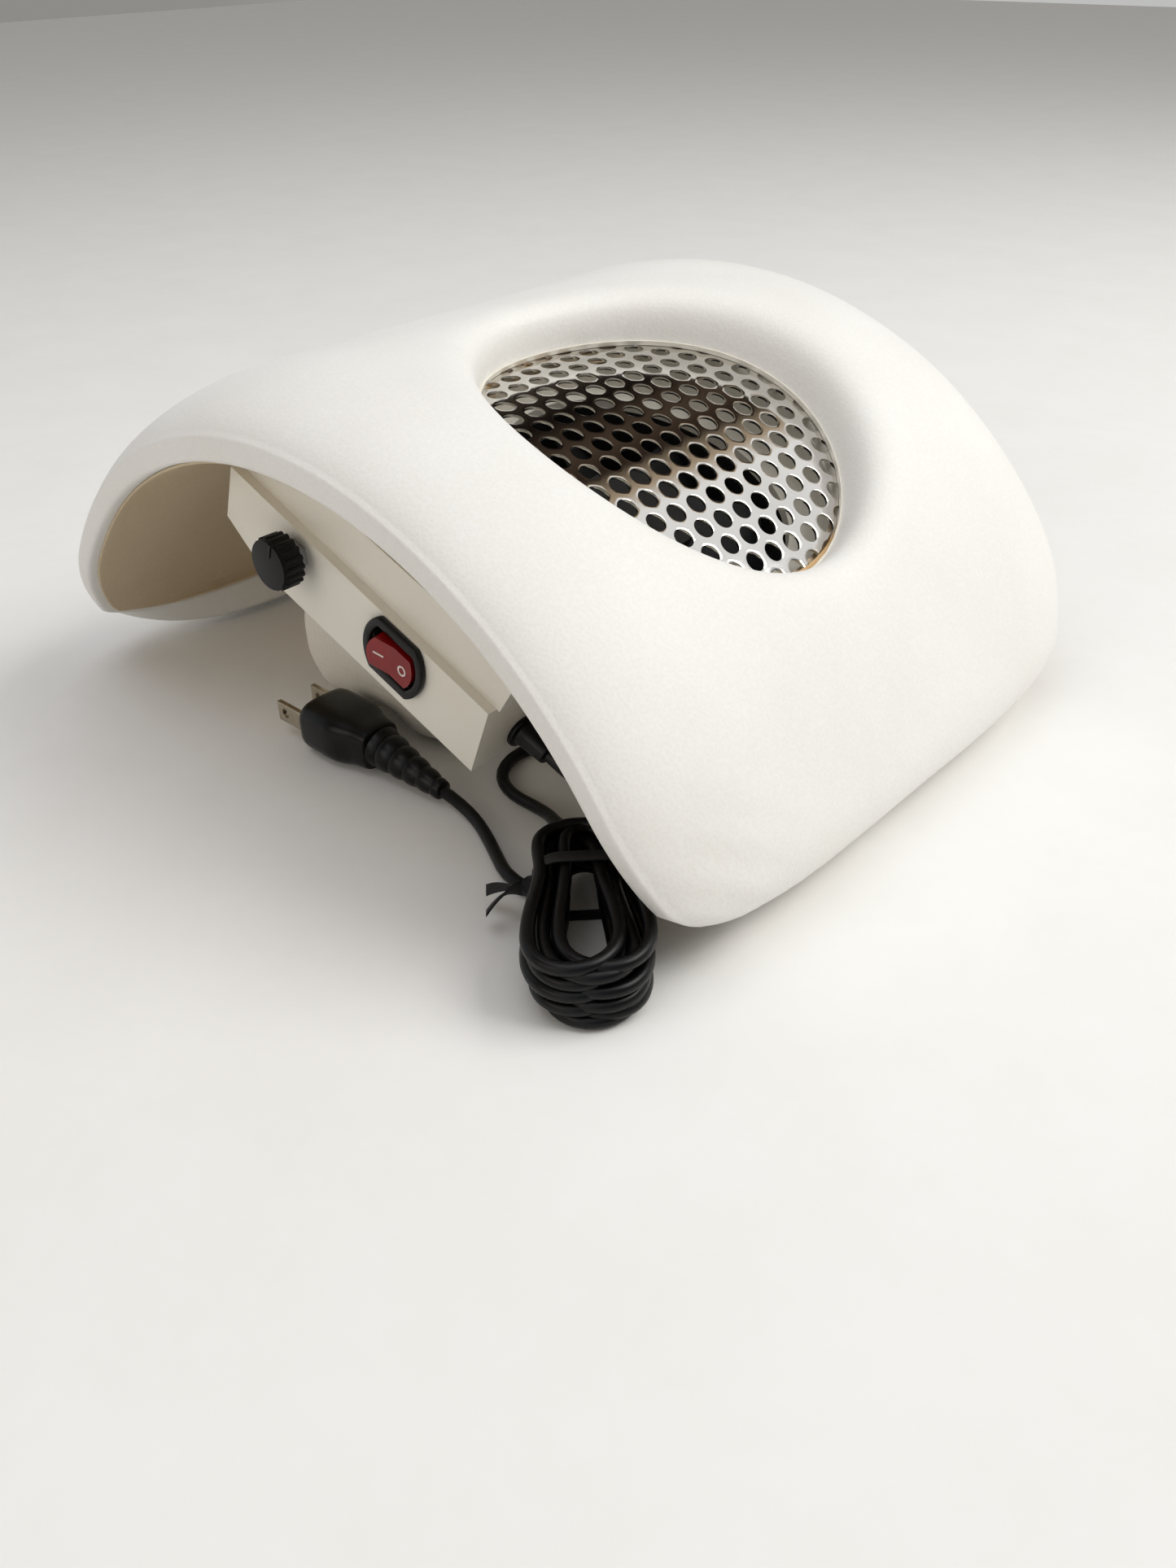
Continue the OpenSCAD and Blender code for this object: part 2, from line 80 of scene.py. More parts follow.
studio = {
    # name: size across, size along, place, aim, watts, colour
    "keyFromFront": (0.9, 0.7, (0.75, 0.55, 1.05), (0.05, 0.0, 0.06), 11.0, "#FFFDF8"),
    "softTop": (1.1, 1.1, (-0.10, -0.15, 1.35), (0.0, 0.0, 0.0), 5.4, "#F4F7FF"),
    "rearFill": (0.7, 0.5, (-0.15, -1.05, 0.50), (0.0, -0.05, 0.04), 1.7, "#FFF6EA"),
}
air = {
    # pale walls with a darker side
    "walls": ((0.10, "#B9B6B2"), (0.62, "#F6F6F4")), "wallTurn": 0.55, "wallLight": 0.56,
    # what polished metal sees instead: a dark room with a bright window side, in soft bands
    "roomEnds": ("#B8BBC0", "#6E6E70"), "roomLight": 0.95,
    "room": ((0.13, "#D9DDE2"), (0.19, "#3A322B"), (0.27, "#15100D"), (0.36, "#4A3D32"), (0.42, "#2A211B"),
             (0.48, "#B9A78F"), (0.52, "#FFFFFF"), (0.72, "#F4F5F7"), (0.80, "#9EA6B0")),
}


def makeStudio():
    for name, (wide, high, place, aim, watts, colour) in studio.items():
        data = bpy.data.lights.new(name, "AREA")
        data.shape = "RECTANGLE"
        data.size, data.size_y, data.energy = wide, high, watts
        data.color = toLinear(colour)[:3]
        lamp = bpy.data.objects.new(name, data)
        towards = Vector(aim) - Vector(place)
        lamp.matrix_world = Matrix.Translation(place) @ towards.to_track_quat("-Z", "Y").to_matrix().to_4x4()
        scene.collection.objects.link(lamp)
    world = bpy.data.worlds.new("studioAir")
    world.use_nodes = True
    tree = world.node_tree
    tree.nodes.clear()
    coords = addNode(tree, "ShaderNodeTexCoord")
    split = addNode(tree, "ShaderNodeSeparateXYZ", links={"Vector": coords.outputs["Generated"]})
    mixed = addNode(tree, "ShaderNodeMath", {1: air["wallTurn"]}, {0: split.outputs["X"]}, operation="MULTIPLY")
    total = addNode(tree, "ShaderNodeMath", None, {0: mixed.outputs[0], 1: split.outputs["Y"]}, operation="ADD")
    ramp = addNode(tree, "ShaderNodeValToRGB", links={"Fac": total.outputs[0]})
    for element, (position, code) in zip(ramp.color_ramp.elements, air["walls"]):
        element.position = position
        element.color = toLinear(code)
    walls = addNode(tree, "ShaderNodeBackground", {"Strength": air["wallLight"]},
                    {"Color": ramp.outputs["Color"]})
    spread = addNode(tree, "ShaderNodeMapRange", {"From Min": -1.0, "From Max": 1.0},
                     {"Value": split.outputs["X"]})
    room = addNode(tree, "ShaderNodeValToRGB", links={"Fac": spread.outputs[0]})
    bands = room.color_ramp.elements
    for position, code in air["room"]:
        bands.new(position).color = toLinear(code)
    bands[0].color, bands[-1].color = [toLinear(code) for code in air["roomEnds"]]
    mirror = addNode(tree, "ShaderNodeBackground", {"Strength": air["roomLight"]},
                     {"Color": room.outputs["Color"]})
    glossy = addNode(tree, "ShaderNodeLightPath").outputs["Is Glossy Ray"]
    both = addNode(tree, "ShaderNodeMixShader", None, {0: glossy, 1: walls.outputs[0], 2: mirror.outputs[0]})
    addNode(tree, "ShaderNodeOutputWorld", links={"Surface": both.outputs[0]})
    scene.world = world
    scene.view_settings.view_transform = "Standard"


makeCamera()
makeStudio()

# materials
# Each finish: colour, a second colour it drifts to, roughness, metallic, then the relief as
# (kind, spacing in mm, height in mm), and extra shader sockets that stay the same all over.
finishes = {
    # PU leather on the arch: matt, very fine pebble grain, a little sheen at grazing angles
    "puLeatherWhite": ("#F1F0ED", "#EBE9E4", 0.56, 0.0, ("pebble", 0.9, 0.05),
                       {"Specular IOR Level": 0.42, "Sheen Weight": 0.10, "Sheen Roughness": 0.5}),
    # smooth cream lining cloth with a PU face: matt and slightly warmer
    "liningCream": ("#D3C2A6", "#C9B698", 0.62, 0.0, ("pebble", 0.7, 0.03), {"Specular IOR Level": 0.35}),
    # open-cell foam: no gloss at all
    "foamIvory": ("#E9E0C4", "#DED3B0", 0.95, 0.0, ("grain", 1.2, 0.25), {}),
    # bent plywood: pale bare wood with long grain
    "plywoodBare": ("#C9A778", "#B08C5C", 0.7, 0.0, ("wave", 2.4, 0.05), {}),
    # mirror-polished stainless sheet: sharp reflections with a faint rolling haze
    "stainlessPolished": ("#E2E0DC", "#D6D3CE", 0.07, 1.0, ("grain", 9.0, 0.010), {}),
    # ABS moulded with a light satin texture, a touch warm
    "absWhiteSatin": ("#EEEAE0", "#E6E1D4", 0.44, 0.0, ("grain", 0.8, 0.012), {"IOR": 1.53}),
    "epdmFoamGrey": ("#3E3E40", "#333335", 0.9, 0.0, ("grain", 0.8, 0.1), {}),
    # glass-filled nylon of the fan: dark grey, dry
    "nylonBlackMatt": ("#111112", "#0C0C0D", 0.55, 0.0, ("grain", 0.5, 0.02), {}),
    # knob: black ABS with a fine spark-eroded face
    "absBlackSatin": ("#09090A", "#0E0E0F", 0.44, 0.0, ("grain", 0.45, 0.015), {"Specular IOR Level": 0.2}),
    "steelLaminated": ("#6C6C70", "#585A5E", 0.38, 1.0, ("wave", 0.5, 0.02), {}),
    "copperEnamelled": ("#B86A33", "#9C5424", 0.30, 1.0, ("wave", 0.45, 0.06), {"Coat Weight": 0.6}),
    "solderMaskGreen": ("#1E5A34", "#184A2B", 0.34, 0.0, ("grain", 2.0, 0.01), {"Coat Weight": 0.5}),
    "steelGround": ("#B9BABD", "#A3A5A9", 0.26, 1.0, ("wave", 0.3, 0.006), {}),
    "ferriteSintered": ("#3A3A3D", "#2E2E31", 0.72, 0.2, ("grain", 0.4, 0.03), {}),
    "zincPlated": ("#A9ADB4", "#B9B6A4", 0.33, 1.0, ("grain", 0.6, 0.01), {}),
    "elasticWoven": ("#E8E6E0", "#DCD9D0", 0.85, 0.0, ("weave", 0.8, 0.12), {"Sheen Weight": 0.2}),
    # spun-bonded polypropylene: matt fibres pressed at small dots
    "nonwovenWhite": ("#E9E4D8", "#DFD9CA", 0.88, 0.0, ("dots", 2.2, 0.16), {"Sheen Weight": 0.25}),
    "aluminiumStamped": ("#9D9EA1", "#8B8C90", 0.40, 1.0, ("grain", 0.8, 0.01), {}),
    "printWhite": ("#EFE6E2", "#E6DCD8", 0.5, 0.0, ("grain", 0.4, 0.005), {}),
    # polished black moulding round the switch
    "polycarbonateBlackGloss": ("#060607", "#0A0A0B", 0.26, 0.0, ("grain", 5.0, 0.004),
                                {"Specular IOR Level": 0.25}),
    # clear red polycarbonate rocker: deep colour under a glossy face
    "polycarbonateRed": ("#980A0E", "#74060A", 0.24, 0.0, ("grain", 4.0, 0.004),
                         {"Coat Weight": 0.3, "Transmission Weight": 0.12, "Specular IOR Level": 0.3}),
    "brassStamped": ("#C9A35A", "#B08C46", 0.34, 1.0, ("grain", 0.8, 0.008), {}),
    "resinOchre": ("#B98A2C", "#A47823", 0.36, 0.0, ("grain", 1.5, 0.01), {"Coat Weight": 0.4}),
    "epoxyBlack": ("#1B1B1C", "#232324", 0.6, 0.0, ("grain", 0.3, 0.02), {}),
    "wireRed": ("#9E1414", "#8A1010", 0.42, 0.0, ("grain", 0.8, 0.01), {}),
    # plasticised PVC of the lead and plug: black, satin with soft highlights
    "pvcBlack": ("#050506", "#08080A", 0.33, 0.0, ("grain", 1.6, 0.012), {"Specular IOR Level": 0.24}),
    "tieBlack": ("#0A0A0B", "#111112", 0.6, 0.0, ("wave", 0.8, 0.05), {}),
    "nickelPlated": ("#C2B8A6", "#AFA592", 0.28, 1.0, ("grain", 1.0, 0.008), {}),
    # floor: matt studio paper
    "paperPale": ("#F2F1EF", "#EEEDEA", 0.9, 0.0, ("grain", 8.0, 0.01), {"Specular IOR Level": 0.2}),
}


waveSpan = 6.3      # a wave texture repeats about this many times less often than its scale says


def makeFinish(name):
    first, second, rough, metal, (kind, spacing, height), extra = finishes[name]
    mat = bpy.data.materials.new(name)
    mat.use_nodes = True
    mat.diffuse_color = toLinear(first)
    tree = mat.node_tree
    shader = tree.nodes["Principled BSDF"]
    shader.inputs["Metallic"].default_value = metal
    for socket, value in extra.items():
        shader.inputs[socket].default_value = value
    place = addNode(tree, "ShaderNodeTexCoord").outputs["Object"]
    scale = 1 / (spacing * mm)
    if kind == "pebble":
        grain = addNode(tree, "ShaderNodeTexVoronoi", {"Scale": scale, "Smoothness": 0.6}, {"Vector": place},
                        feature="SMOOTH_F1").outputs["Distance"]
    elif kind == "dots":
        grain = addNode(tree, "ShaderNodeTexVoronoi",
                        {"Scale": scale, "Randomness": 0.12, "Smoothness": 0.25},
                        {"Vector": place}, feature="SMOOTH_F1").outputs["Distance"]
    elif kind == "wave":
        grain = addNode(tree, "ShaderNodeTexWave",
                        {"Scale": scale / waveSpan, "Distortion": 2.0, "Detail": 2.0},
                        {"Vector": place}, bands_direction="Z").outputs["Fac"]
    elif kind == "weave":
        grain = addNode(tree, "ShaderNodeTexWave", {"Scale": scale / waveSpan, "Distortion": 0.4},
                        {"Vector": place}, bands_direction="DIAGONAL").outputs["Fac"]
    else:
        grain = addNode(tree, "ShaderNodeTexNoise", {"Scale": scale, "Detail": 4.0, "Roughness": 0.6},
                        {"Vector": place}).outputs["Fac"]
    broad = addNode(tree, "ShaderNodeTexNoise", {"Scale": 26.0, "Detail": 3.0},
                    {"Vector": place}).outputs["Fac"]
    blend = addNode(tree, "ShaderNodeMix", {"Factor": 0.35}, {"A": broad, "B": grain}, data_type="FLOAT")
    tint = addNode(tree, "ShaderNodeValToRGB", links={"Fac": blend.outputs["Result"]})
    tint.color_ramp.elements[0].position, tint.color_ramp.elements[1].position = 0.3, 0.7
    tint.color_ramp.elements[0].color, tint.color_ramp.elements[1].color = toLinear(second), toLinear(first)
    worn = addNode(tree, "ShaderNodeMapRange", {"To Min": rough * 0.88, "To Max": min(1.0, rough * 1.12)},
                   {"Value": broad})
    bump = addNode(tree, "ShaderNodeBump", {"Distance": height * mm, "Strength": 1.0}, {"Height": grain})
    if kind in ("pebble", "dots"):
        fine = addNode(tree, "ShaderNodeTexNoise", {"Scale": scale * 3.1, "Detail": 3.0}, {"Vector": place})
        bump = addNode(tree, "ShaderNodeBump", {"Distance": height * 0.5 * mm, "Strength": 0.7},
                       {"Height": fine.outputs["Fac"], "Normal": bump.outputs["Normal"]})
    tree.links.new(tint.outputs["Color"], shader.inputs["Base Color"])
    tree.links.new(worn.outputs["Result"], shader.inputs["Roughness"])
    tree.links.new(bump.outputs["Normal"], shader.inputs["Normal"])
    return mat


materials = {name: makeFinish(name) for name in finishes}
print("materials made:", len(materials))


def meshObject(name, verts, faces, finish, smooth=True, sharpAngle=None):
    data = bpy.data.meshes.new(name)
    data.from_pydata(verts, [], faces)
    data.update()
    obj = bpy.data.objects.new(name, data)
    scene.collection.objects.link(obj)
    data.materials.append(materials[finish])
    tidyNormals(obj)
    shade(obj, sharpAngle if smooth else 0)
    return obj


def tidyNormals(obj):
    bm = bmesh.new()
    bm.from_mesh(obj.data)
    bmesh.ops.remove_doubles(bm, verts=bm.verts, dist=1e-6)
    bmesh.ops.recalc_face_normals(bm, faces=bm.faces)
    bm.to_mesh(obj.data)
    bm.free()


def shade(obj, sharpAngle=None):
    for face in obj.data.polygons:
        face.use_smooth = True
    if sharpAngle is not None:
        obj.data.set_sharp_from_angle(angle=math.radians(sharpAngle))


def applyModifiers(obj):
    depsgraph = bpy.context.evaluated_depsgraph_get()
    baked = bpy.data.meshes.new_from_object(obj.evaluated_get(depsgraph))
    obj.modifiers.clear()
    old = obj.data
    obj.data = baked
    bpy.data.meshes.remove(old)


def makeFloor():
    half = 3.0      # metres
    corners = [(-half, -half, 0), (half, -half, 0), (half, half, 0), (-half, half, 0)]
    floor = meshObject("studioFloor", corners, [(0, 1, 2, 3)], "paperPale")


makeFloor()

# mains lead
lead = {
    "diameter": 3.6,
    "inner": [(61.9, -72, 27.3), (69, -71.6, 24), (76.5, -69, 19), (83, -62.5, 13), (86, -53, 7.8),
              (85, -43, 4.2), (79.5, -34, 2.2), (70, -27.5, 2.1), (58, -24.5, 2.1), (46, -25.5, 2.1),
              (35.5, -31.5, 2.1), (28.5, -41, 2.1), (26.5, -52, 2.1), (31, -61.5, 2.1),
              (40, -66, 2.1), (50, -67, 3.2), (59, -69.5, 5.4), (66.2, -74.3, 8.6)],
    "free": [(26.3, -79.6, 4.3), (34, -79.5, 3), (43, -81.5, 2.1), (51.5, -85.5, 2.1),
             (59.5, -90, 2.4), (67.8, -94.6, 3.4)],
    "hankAt": (98, -98), "hankTurn": -44,
    # turns from the top down: height, how far they lie to one side, how far they reach
    "turns": [(17.0, -4.4, 28.0), (16.8, 4.2, 27.0), (14.4, 0.0, 28.8), (13.0, -3.4, 28.2), (10.8, 3.2, 29.0),
              (9.2, -3.6, 28.8), (7.2, 1.4, 29.4), (5.6, -2.4, 28.8), (3.8, 3.4, 28.6), (2.2, -0.5, 29.4)],
    "fold": 10.8, "tieAlong": -11, "waist": 0.34, "waistRun": 15,
    "stepFrom": 0.72, "stepRun": 0.28,         # the part of a turn in which it steps to the next one
    # how far strands wander in mm, then how fast along the hank and from turn to turn
    "sway": (0.8, 0.09, 1.9), "heave": (0.6, 0.08, 2.3),
    "lowest": 2.1, "highest": 17.2,
    "pointsPerTurn": 30,
}


def hankPoints():
    pts = []
    turn = math.radians(lead["hankTurn"])
    radius = lead["fold"]
    sway, swayAlong, swayTurn = lead["sway"]
    heave, heaveAlong, heaveTurn = lead["heave"]
    last = len(lead["turns"]) - 1
    for index, (height, aside, half) in enumerate(lead["turns"]):
        straight = half - radius
        count = lead["pointsPerTurn"]
        lengths = [2 * straight, math.pi * radius, 2 * straight, math.pi * radius]
        nextTurn = lead["turns"][min(index + 1, last)]
        for i in range(count):
            part = i / count
            run = part * sum(lengths)
            if run < lengths[0]:
                x, y = -straight + run, radius
            elif run < sum(lengths[:2]):
                a = (run - lengths[0]) / radius
                x, y = straight + radius * math.sin(a), radius * math.cos(a)
            elif run < sum(lengths[:3]):
                x, y = straight - (run - sum(lengths[:2])), -radius
            elif index == last:
                break
            else:
                a = (run - sum(lengths[:3])) / radius
                x, y = -straight - radius * math.sin(a), -radius * math.cos(a)
            ease = max(0.0, (part - lead["stepFrom"]) / lead["stepRun"])
            ease = ease * ease * (3 - 2 * ease)
            z = height + (nextTurn[0] - height) * ease
            y += aside + (nextTurn[1] - aside) * ease
            # strands part a little at the far end and draw together under the tie
            drift = index + part
            y += sway * math.sin(swayAlong * x + swayTurn * drift)
            y *= 1 - lead["waist"] * math.exp(-((x - lead["tieAlong"]) / lead["waistRun"]) ** 2)
            z += heave * math.sin(heaveAlong * x + heaveTurn * drift) * min(1.0, max(0.0, z - 3) / 6)
            wx = lead["hankAt"][0] + x * math.cos(turn) - y * math.sin(turn)
            wy = lead["hankAt"][1] + x * math.sin(turn) + y * math.cos(turn)
            pts.append((wx, wy, min(lead["highest"], max(lead["lowest"], z))))
    return pts


def smoothRoute(points, passes=2):
    line = [Vector(p) for p in points]
    for _ in range(passes):
        line = [line[0]] + [(a + b * 2 + c) / 4 for a, b, c in zip(line, line[1:], line[2:])] + [line[-1]]
    return line


def makeLead():
    leave = [Vector(p) for p in lead["free"][::-1]]
    route = [Vector(p) for p in lead["inner"]] + smoothRoute(hankPoints(), 1) + leave
    curve = bpy.data.curves.new("mainsLead", "CURVE")
    curve.dimensions = "3D"
    curve.bevel_depth = lead["diameter"] / 2 * mm
    curve.bevel_resolution = 3
    curve.resolution_u = 3
    curve.use_fill_caps = True
    spline = curve.splines.new("NURBS")
    spline.points.add(len(route) - 1)
    for point, place in zip(spline.points, route):
        point.co = (*(place * mm), 1)
    spline.order_u = 3
    spline.use_endpoint_u = True
    obj = bpy.data.objects.new("mainsLead", curve)
    scene.collection.objects.link(obj)
    curve.materials.append(materials["pvcBlack"])
    total = sum((b - a).length for a, b in zip(route, route[1:])) * mm
    print("lead length", round(total, 3))
    return obj, total


leadPiece, leadLength = makeLead()
print("lead made")

# padded arch
arch = {
    "width": 265, "depth": 208, "height": 116,
    "roll": 18, "footFlat": 0.8, "rollEnd": 110,
    "corner": 74,                 # radius of the leg corners, unrolled
    "crestThick": 20, "legThick": 15,
    "edgeDrop": (11.3, 8.5, 4.0),  # how far the padding thins towards its edges: crest, legs, feet
    "edgeRun": 38, "edgeFull": 0.95,
    "mouthTilt": 21.5, "mouthAlong": 53, "mouthAcross": 50, "mouthOff": -4,
    # lip of the mouth: distance out from the mouth, depth
    "lip": [(17, 0.0), (14, 0.12), (11.5, 0.5), (9.2, 1.15), (7.2, 2.1), (5.5, 3.4), (4.1, 5.0), (3.0, 6.9),
            (2.1, 8.9), (1.4, 10.9), (0.8, 12.8), (0.35, 14.0), (0.1, 14.9)],
    "fadeDepth": 9,               # below this depth the lip ignores the unevenness of the top
    "deepLip": 10,                # a lip that goes deeper than this ends in a flat seat on the sheet
    "seatOut": (3.3, 0.4), "seatGap": 0.15, "seatStep": 0.3,
    "innerOut": 3.4, "innerRings": 11, "ringEase": 1.35,
    "driftWaves": 0.028, "drift": 0.28,
    "puckerAt": (168, -78), "puckerReach": 17, "pucker": 0.42, "puckerWaves": 0.62, "puckerSlant": (0.8, 0.55),
    "around": 320, "between": 24,
}


class ArchShape:
    def __init__(self):
        a = arch
        self.rollX = a["width"] / 2 - a["roll"]
        self.rollZ = a["roll"] - a["footFlat"]
        h = a["height"] - self.rollZ
        r = a["roll"]
        self.crestR = (self.rollX ** 2 + h * h - r * r) / (2 * h - 2 * r)
        self.centreZ = a["height"] - self.crestR
        self.meet = math.atan2(self.rollZ - self.centreZ, self.rollX)
        self.crestRun = self.crestR * (math.pi / 2 - self.meet)
        self.halfRun = self.crestRun + r * (self.meet + math.radians(a["rollEnd"]))
        self.mouthS = self.crestR * math.radians(a["mouthTilt"])

    def point(self, s, y, depth):
        side = 1 if s >= 0 else -1
        s = abs(s)
        if s < self.crestRun:
            lean = s / self.crestR
            x, z = self.crestR * math.sin(lean), self.centreZ + self.crestR * math.cos(lean)
            nx, nz = math.sin(lean), math.cos(lean)
        else:
            turn = self.meet - (s - self.crestRun) / arch["roll"]
            nx, nz = math.cos(turn), math.sin(turn)
            x, z = self.rollX + arch["roll"] * nx, self.rollZ + arch["roll"] * nz
        x, z = x - nx * depth, z - nz * depth
        return Vector((side * x, y, max(z, 0.0)))

    def along(self, s, values):
        part = min(1.0, abs(s) / self.crestRun)
        if abs(s) <= self.crestRun:
            return values[0] + (values[1] - values[0]) * part ** 2
        rest = (abs(s) - self.crestRun) / (self.halfRun - self.crestRun)
        return values[1] + (values[-1] - values[1]) * rest

    def edgeDistance(self, s, y, inset=0.0):
        r = arch["corner"]
        qx = abs(s) - (self.halfRun - r)
        qy = abs(y) - (arch["depth"] / 2 - r)
        outside = math.hypot(max(qx, 0), max(qy, 0)) + min(max(qx, qy), 0) - r
        return -outside - inset

    def perimeter(self, count, inset):
        r = arch["corner"] - inset
        hx, hy = self.halfRun - arch["corner"], arch["depth"] / 2 - arch["corner"]
        pieces = []
        cornerSteps = 30
        for k, (cx, cy) in enumerate(((hx, hy), (-hx, hy), (-hx, -hy), (hx, -hy))):
            for i in range(cornerSteps + 1):
                a = math.radians(k * 90 + i * 90 / cornerSteps)
                pieces.append((cx + r * math.cos(a), cy + r * math.sin(a), math.cos(a), math.sin(a)))
        pieces.append(pieces[0])
        lengths = [0.0]
        for p, q in zip(pieces, pieces[1:]):
            lengths.append(lengths[-1] + math.hypot(q[0] - p[0], q[1] - p[1]))
        result, at = [], 0
        for i in range(count):
            want = lengths[-1] * i / count
            while lengths[at + 1] < want:
                at += 1
            f = (want - lengths[at]) / max(1e-9, lengths[at + 1] - lengths[at])
            result.append(tuple(p + (q - p) * f for p, q in zip(pieces[at], pieces[at + 1])))
        return result


shape = ArchShape()


def edgeDrop(s, y):
    full = shape.along(s, arch["edgeDrop"])
    near = min(1.0, max(0.0, shape.edgeDistance(s, y) - 1.2) / arch["edgeRun"])
    k = arch["edgeFull"]
    return full * (1 - math.sqrt(1 - (k * (1 - near)) ** 2)) / (1 - math.sqrt(1 - k * k))


def softUneven(s, y):
    waves = arch["driftWaves"]
    drift = noise.noise(Vector((s * waves, y * waves, 3.1))) * arch["drift"]
    # a few short puckers where the leather is pulled round the rear right corner
    atS, atY = arch["puckerAt"]
    slantS, slantY = arch["puckerSlant"]
    near = math.exp(-(math.hypot(s - atS, y - atY) / arch["puckerReach"]) ** 2)
    return drift + near * math.sin(arch["puckerWaves"] * (s * slantS - y * slantY)) * arch["pucker"]


def archShell(name, finish, inset, topDepth, innerDepth, lip, count, between, rim=1.3):
    border = shape.perimeter(count, inset + rim)
    rings = []
    angles = [math.atan2((b[1] - arch["mouthOff"]) / arch["mouthAcross"],
                         (b[0] - shape.mouthS) / arch["mouthAlong"]) for b in border]

    def mouthPoint(angle, out, depth):
        u = (arch["mouthAlong"] + out) * math.cos(angle)
        v = (arch["mouthAcross"] + out) * math.sin(angle) + arch["mouthOff"]
        s = shape.mouthS + shape.crestR * math.asin(u / (shape.crestR - depth))
        return s, v

    for out, depth in lip[::-1]:
        ring = []
        for angle in angles:
            s, v = mouthPoint(angle, out, depth)
            fade = max(0.0, 1 - depth / arch["fadeDepth"])
            ring.append(shape.point(s, v, depth + topDepth(s, v) * fade))
        rings.append(ring)
    starts = [mouthPoint(angle, lip[0][0], lip[0][1]) for angle in angles]
    for i in range(1, between + 1):
        eased = 1 - (1 - i / (between + 1)) ** arch["ringEase"]
        ring = []
        for (s0, v0), b in zip(starts, border):
            s, v = s0 + (b[0] - s0) * eased, v0 + (b[1] - v0) * eased
            ring.append(shape.point(s, v, topDepth(s, v)))
        rings.append(ring)
    # rim: over the outer edge, down the narrow face, round the inner edge
    for out, part in ((0.0, 0.0), (0.55 * rim, 0.05), (0.95 * rim, 0.13), (rim, 0.28), (rim, 0.72),
                      (0.85 * rim, 0.88), (0.4 * rim, 0.97), (-0.6, 1.0)):
        ring = []
        for b in border:
            top = topDepth(b[0], b[1])
            low = innerDepth(b[0])
            ring.append(shape.point(b[0] + b[2] * out, b[1] + b[3] * out, top + (low - top) * part))
        rings.append(ring)
    for i in range(1, arch["innerRings"]):
        part = i / arch["innerRings"]
        ring = []
        for angle, b in zip(angles, border):
            s1, v1 = mouthPoint(angle, arch["innerOut"], innerDepth(0))
            s, v = b[0] + (s1 - b[0]) * part, b[1] + (v1 - b[1]) * part
            ring.append(shape.point(s, v, innerDepth(s)))
        rings.append(ring)
    ring = []
    for angle in angles:
        low = innerDepth(shape.mouthS)
        s, v = mouthPoint(angle, arch["innerOut"], low)
        ring.append(shape.point(s, v, innerDepth(s)))
    rings.append(ring)
    if lip[-1][1] > arch["deepLip"]:
        seat = lip[-1][1] + arch["seatGap"]
        for out, depth in zip(arch["seatOut"], (seat + arch["seatStep"], seat)):
            rings.append([shape.point(*mouthPoint(angle, out, depth), depth) for angle in angles])
    verts = [tuple(p * mm) for ring in rings for p in ring]
    faces = []
    for r in range(len(rings)):
        below, above = r * count, ((r + 1) % len(rings)) * count
        for i in range(count):
            j = (i + 1) % count
            faces.append((below + i, below + j, above + j, above + i))
    return meshObject(name, verts, faces, finish, sharpAngle=62)


def thickness(trim):
    return lambda s, y=0.0: shape.along(s, (arch["crestThick"], arch["legThick"])) - trim


def coverTop(s, y):
    return edgeDrop(s, y) + softUneven(s, y)


cover = archShell("coverPadded", "puLeatherWhite", 0, coverTop, thickness(1.0), arch["lip"], arch["around"],
                  arch["between"])
foam = archShell("foamPad", "foamIvory", 2.5, lambda s, y: edgeDrop(s, y) + 2, thickness(4.3),
                 [(20, 0), (14, 1.0), (9, 3.6), (6, 8)], 160, 12, rim=0.5)
board = archShell("archBoard", "plywoodBare", 4.5, thickness(4.0), thickness(1.3), [(20, 0), (4.4, 0)],
                  160, 12, rim=0.3)
lining = archShell("liningSheet", "liningCream", 3.2, thickness(0.9), thickness(0.0), [(20, 0), (3.6, 0)],
                   240, 20, rim=0.5)
print("arch made")

# perforated intake sheet
sheetDepth = 15.0       # from the crest of the padding down to the sheet
sheetMetal = {
    "radius": shape.crestR - sheetDepth, "thick": 0.8, "edgeRound": 0.26,
    "pitch": 8.15, "hole": 5.8, "phase": (-4.44, 1.25), "sides": 24,
    "rows": (10, 16),             # tiles along and across, enough to cover the oval
    "overlap": 1.0,               # how far the sheet goes past the mouth on every side
    "reach": 5.4,                 # tiles are kept when their centre is less than this past the sheet's edge
    "weld": 0.06, "shortest": 0.05,
}


# the mouth's own frame: its Z leans with the mouth, out of the arch's centre line
def unitMatrix(out=0.0):
    tilt = Matrix.Rotation(math.radians(arch["mouthTilt"]), 4, "Y")
    return Matrix.Translation((0, 0, shape.centreZ * mm)) @ tilt @ Matrix.Translation((0, 0, out * mm))


def makeTile():
    sides = sheetMetal["sides"]
    bm = bmesh.new()
    rings = []
    for kind in (0, 1, 2):
        ring = []
        for i in range(sides):
            a = 2 * math.pi * i / sides
            wedge = a % (math.pi / 3) - math.pi / 6
            hexagon = sheetMetal["pitch"] / 2 / math.cos(wedge)
            radius = (sheetMetal["hole"] / 2, (sheetMetal["hole"] / 2 + hexagon) / 2, hexagon)[kind]
            ring.append(bm.verts.new((radius * mm * math.cos(a), radius * mm * math.sin(a), 0)))
        rings.append(ring)
    for inner, outer in zip(rings, rings[1:]):
        for i in range(sides):
            bm.faces.new((inner[i], outer[i], outer[(i + 1) % sides], inner[(i + 1) % sides]))
    data = bpy.data.meshes.new("sheetTile")
    bm.to_mesh(data)
    bm.free()
    tile = bpy.data.objects.new("sheetTile", data)
    scene.collection.objects.link(tile)
    return tile


